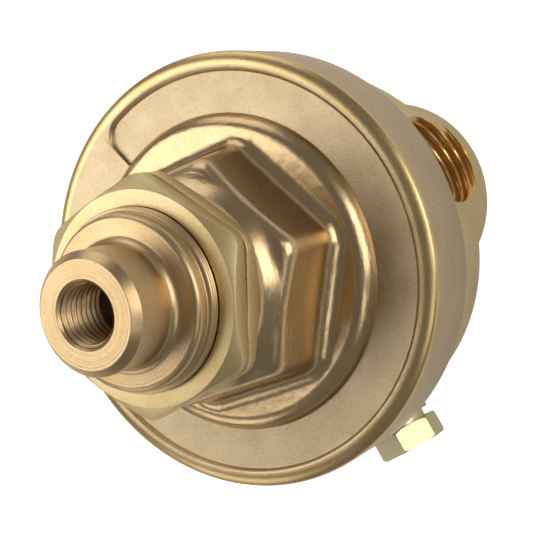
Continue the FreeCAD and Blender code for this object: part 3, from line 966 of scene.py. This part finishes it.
@dataclass
class Body:
    """The body forging: hub, round flange, an upright lobe round each port, and the plug's boss."""

    # Outside.
    hub_r: float = 24.0
    back_round: float = 0.8
    flange_r: float = 38.0
    flange_low: float = 6.8
    flange_root: float = 0.4
    flange_round: float = 0.8
    shoulder: float = 24.9
    shoulder_root: float = 0.2
    thread_r: float = 37.6
    land: float = 32.5
    lobe_r: float = 20.2
    lobe_offset: float = 20.0
    # Inside, from the groove that grips the diaphragm down to the floor of the valve's cage.
    groove_outer_r: float = 32.6
    groove_inner_r: float = 31.4
    groove_floor: float = 32.1
    chamber_r: float = 27.5
    chamber_floor: float = 27.9
    seat_r: float = 9.5
    seat_floor: float = 17.9
    cage_r: float = 7.6
    cage_floor: float = 4.0
    # Boss and bores along Y at plug_z, along X at port_z, and along Z at riser_x.
    plug_z: float = 9.6
    boss: Rod = Rod("boss", 6.4, 20.0, 40.3)
    gauge_hole: Rod = Rod("gauge hole", 5.2, 31.3, 42.3)
    gauge_passage: Rod = Rod("gauge passage", 1.5, 6.0, 32.3)
    port_z: float = 13.8
    inlet_passage: Rod = Rod("inlet passage", 3.0, 6.0, 23.2)
    riser_x: float = 23.6
    riser: Rod = Rod("riser", 3.2, 13.8, 28.9)
    columns: int = 420
    arc_rows: int = 6

    def lobes(self, angles: np.ndarray) -> np.ndarray:
        """Outermost radius of the two lobes in each direction, by the law of cosines."""
        across = self.lobe_offset * np.sin(angles)
        return self.lobe_offset * np.abs(np.cos(angles)) + np.sqrt(self.lobe_r ** 2 - across ** 2)

    def creases(self) -> list[float]:
        """Find where a lobe's wall crosses the flange or the hub, by the law of cosines.

        Returns:
            The directions in degrees.
        """
        found = []
        for r in (self.flange_r, self.hub_r):
            c = (r ** 2 + self.lobe_offset ** 2 - self.lobe_r ** 2) / (2 * r * self.lobe_offset)
            a = math.degrees(math.acos(c))
            found += [a, 180 - a, 180 + a, 360 - a]
        return found

    def forging(self, paint: Paint) -> bpy.types.Object:
        """Build the turned and forged shape with its chamber, before the ports are cut.

        Args:
            paint: builds the materials.

        Returns:
            The forging.
        """
        angles = directions(self.columns, self.creases(), 0.0, 1)
        n = len(angles)
        lobes = self.lobes(angles)
        hub = np.maximum(self.hub_r, lobes)
        flange = np.maximum(self.flange_r, lobes)
        grid = Grid("body_forging", angles)
        grid.add(rounded(chain(
            n, (0, 0), (hub, 0), (hub, self.flange_low), (flange, self.flange_low),
            (flange, self.shoulder), (self.thread_r, self.shoulder)),
            (0, self.back_round, self.flange_root, self.flange_round, self.shoulder_root, 0),
            self.arc_rows), BODY_BRASS)
        grid.add(chain(
            n, (self.thread_r, self.shoulder), (self.thread_r, self.land),
            (self.groove_outer_r, self.land), (self.groove_outer_r, self.groove_floor),
            (self.groove_inner_r, self.groove_floor), (self.groove_inner_r, self.land),
            (self.chamber_r, self.land), (self.chamber_r, self.chamber_floor),
            (self.seat_r, self.chamber_floor), (self.seat_r, self.seat_floor),
            (self.cage_r, self.seat_floor), (self.cage_r, self.cage_floor),
            (0, self.cage_floor)), TURNED_BRASS)
        return grid.build(paint, False)

    def build(self, paint: Paint) -> bpy.types.Object:
        """Build the body with its boss and cut its ports and passages.

        Args:
            paint: builds the materials.

        Returns:
            The body.
        """
        port = Port()
        forging = self.forging(paint)
        to_plug = Matrix.Translation((0, 0, self.plug_z)) @ Matrix.Rotation(QUARTER, 4, "X")
        to_outlet = Matrix.Translation((0, 0, self.port_z)) @ Matrix.Rotation(QUARTER, 4, "Y")
        to_inlet = Matrix.Translation((0, 0, self.port_z)) @ Matrix.Rotation(-QUARTER, 4, "Y")
        upright = Matrix.Translation((self.riser_x, 0, 0))
        return carve(forging, [
            (self.boss.build(paint, to_plug, BODY_BRASS), "UNION"),
            (port.build("outlet", paint, to_outlet), "DIFFERENCE"),
            (port.build("inlet", paint, to_inlet), "DIFFERENCE"),
            (self.gauge_hole.build(paint, to_plug, TURNED_BRASS), "DIFFERENCE"),
            (self.gauge_passage.build(paint, to_plug, TURNED_BRASS), "DIFFERENCE"),
            (self.inlet_passage.build(paint, to_inlet, TURNED_BRASS), "DIFFERENCE"),
            (self.riser.build(paint, upright, TURNED_BRASS), "DIFFERENCE"),
        ])


@dataclass
class Solids:
    """The finish of every solid in the frame, of which the pieces inside are shown as they are."""

    finishes: dict[str, Finish] = field(default_factory=lambda: {
        "body": BODY_BRASS, "bonnet": COVER_BRASS, "panel_nut_front": NUT_BRASS,
        "panel_nut_rear": NUT_BRASS, "port_plug": FITTING_BRASS, "adjusting_screw": HARD_STEEL,
        "thrust_ball": HARD_STEEL, "spring_button": PLATE_ALLOY, "loading_spring": SPRING_STEEL,
        "diaphragm_plate": PLATE_ALLOY, "diaphragm": RUBBER, "slip_ring": PLATE_ALLOY,
        "diaphragm_washer": FITTING_BRASS, "diaphragm_nut": FITTING_BRASS,
        "seat_nozzle": FITTING_BRASS, "nozzle_gasket": SEAT_POLYMER, "valve_stem": FITTING_BRASS,
        "seat_insert": SEAT_POLYMER, "poppet_spring": SPRING_STEEL, "valve_cage": FITTING_BRASS,
        "inlet_screen": SPRING_STEEL})

    def dress(self, paint: Paint) -> None:
        """Give every solid of the frame its finish.

        Args:
            paint: builds the materials.
        """
        for name, finish in self.finishes.items():
            paint.dress(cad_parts[name], finish)
            log.info("dressed %s as %s", name, finish.name)


@dataclass(frozen=True)
class Lamp:
    """A square soft light: its place and its side in metres, and its power in watts."""

    name: str
    place: tuple[float, float, float]
    side: float
    power: float

    def hang(self, aim: tuple[float, float, float]) -> None:
        """Hang the lamp so that it looks at a point.

        Args:
            aim: the point, in metres.
        """
        data = bpy.data.lights.new(self.name, "AREA")
        data.shape = "SQUARE"
        data.size = self.side
        data.energy = self.power
        lamp = bpy.data.objects.new(self.name, data)
        bpy.context.scene.collection.objects.link(lamp)
        spot = Matrix.Translation(self.place)
        sight = Matrix.Translation(aim).translation - spot.translation
        lamp.matrix_world = spot @ sight.to_track_quat("-Z", "Y").to_matrix().to_4x4()


@dataclass
class Studio:
    """Floor, soft lights, pale surroundings and the camera of the photograph.

    The floor's side, the lamps and their aim are in metres. The room's light is what the part
    sees, and the camera alone sees white.
    """

    eye_mm: tuple[float, float, float] = (119.53, -32.59, 232.26)
    right: tuple[float, float, float] = (0.72187, -0.48325, -0.49536)
    up: tuple[float, float, float] = (0.47998, 0.86527, -0.14466)
    back: tuple[float, float, float] = (0.49852, -0.13334, 0.85656)
    lens_mm: float = 80.93
    sensor_mm: float = 36.0
    near: float = 0.01
    far: float = 20.0
    floor_side: float = 6.0
    floor_glow: float = 0.8
    room_light: float = 0.19
    white: str = "#FFFFFF"
    aim: tuple[float, float, float] = (0, 0, 0.04)
    lamps: tuple[Lamp, ...] = (
        Lamp("key", (-0.36, 0.28, 0.50), 0.56, 2.25),
        Lamp("side", (0.82, -0.20, 0.48), 0.62, 3.4),
        Lamp("low", (0.33, -0.56, 0.66), 0.22, 0.34),
        Lamp("top", (0.16, 0.90, 0.26), 0.60, 1.35),
        Lamp("left", (-0.72, -0.36, 0.42), 0.40, 0.70))

    def camera(self) -> None:
        """Place the camera at the photograph's point of view."""
        data = bpy.data.cameras.new("camera")
        data.lens = self.lens_mm
        data.sensor_width = self.sensor_mm
        data.clip_start = self.near
        data.clip_end = self.far
        camera = bpy.data.objects.new("camera", data)
        bpy.context.scene.collection.objects.link(camera)
        turn = Matrix((self.right, self.up, self.back)).transposed().to_4x4()
        camera.matrix_world = Matrix.Translation([v * MM for v in self.eye_mm]) @ turn
        bpy.context.scene.camera = camera

    def floor(self) -> None:
        """Lay a white floor that the camera sees as white, with the part's shadow."""
        half = self.floor_side / 2
        mesh = bpy.data.meshes.new("floor")
        mesh.from_pydata([(-half, -half, 0), (half, -half, 0), (half, half, 0), (-half, half, 0)],
                         [], [(0, 1, 2, 3)])
        floor = bpy.data.objects.new("floor", mesh)
        bpy.context.scene.collection.objects.link(floor)
        material = bpy.data.materials.new("white paper")
        material.use_nodes = True
        tree = material.node_tree
        tree.nodes.clear()
        paper = add_node(tree, "ShaderNodeBsdfDiffuse", inputs={"Color": linear(self.white)})
        glow = add_node(tree, "ShaderNodeEmission", inputs={
            "Color": linear(self.white), "Strength": self.floor_glow})
        path = add_node(tree, "ShaderNodeLightPath")
        none = add_node(tree, "ShaderNodeEmission", inputs={"Strength": 0.0})
        shown = add_node(tree, "ShaderNodeMixShader", inputs={
            0: path.outputs["Is Camera Ray"], 1: none.outputs[0], 2: glow.outputs[0]})
        both = add_node(tree, "ShaderNodeAddShader", inputs={
            0: paper.outputs[0], 1: shown.outputs[0]})
        add_node(tree, "ShaderNodeOutputMaterial", inputs={"Surface": both.outputs[0]})
        mesh.materials.append(material)

    def world(self) -> None:
        """Fill the room with even light, which the camera alone sees as a white backdrop."""
        world = bpy.data.worlds.new("room")
        world.use_nodes = True
        tree = world.node_tree
        tree.nodes.clear()
        path = add_node(tree, "ShaderNodeLightPath")
        level = add_node(tree, "ShaderNodeMath", {"operation": "MULTIPLY_ADD"}, {
            0: path.outputs["Is Camera Ray"], 1: 1 - self.room_light, 2: self.room_light})
        air = add_node(tree, "ShaderNodeBackground", inputs={
            "Color": linear(self.white), "Strength": level.outputs[0]})
        add_node(tree, "ShaderNodeOutputWorld", inputs={"Surface": air.outputs[0]})
        bpy.context.scene.world = world

    def build(self) -> None:
        """Set the whole studio up."""
        self.camera()
        self.floor()
        self.world()
        for lamp in self.lamps:
            lamp.hang(self.aim)
        bpy.context.scene.view_settings.view_transform = "Standard"


def main() -> None:
    """Dress the part, build its visible pieces, hide the CAD nodes they stand for and set up the
    studio.
    """
    logging.basicConfig(level=logging.INFO)
    paint = Paint()
    Solids().dress(paint)
    for piece, node, slot in (
            (Bonnet().build(paint), "bonnet", "bonnet_brass"),
            (Body().build(paint), "body", "body_brass"),
            (PanelNut("nut_front", 66.1, 69.8, -0.8).build(paint), "panel_nut_front", "nut_brass"),
            (PanelNut("nut_rear", 65.8, 62.1, -3.3).build(paint), "panel_nut_rear", "nut_brass"),
            (PortPlug().build(paint), "port_plug", "fitting_brass")):
        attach(piece, "housing")
        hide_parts(node)
        log.info("built %s with %d faces", piece.name, len(piece.data.polygons))
    Studio().build()


if __name__ == "__main__":
    main()
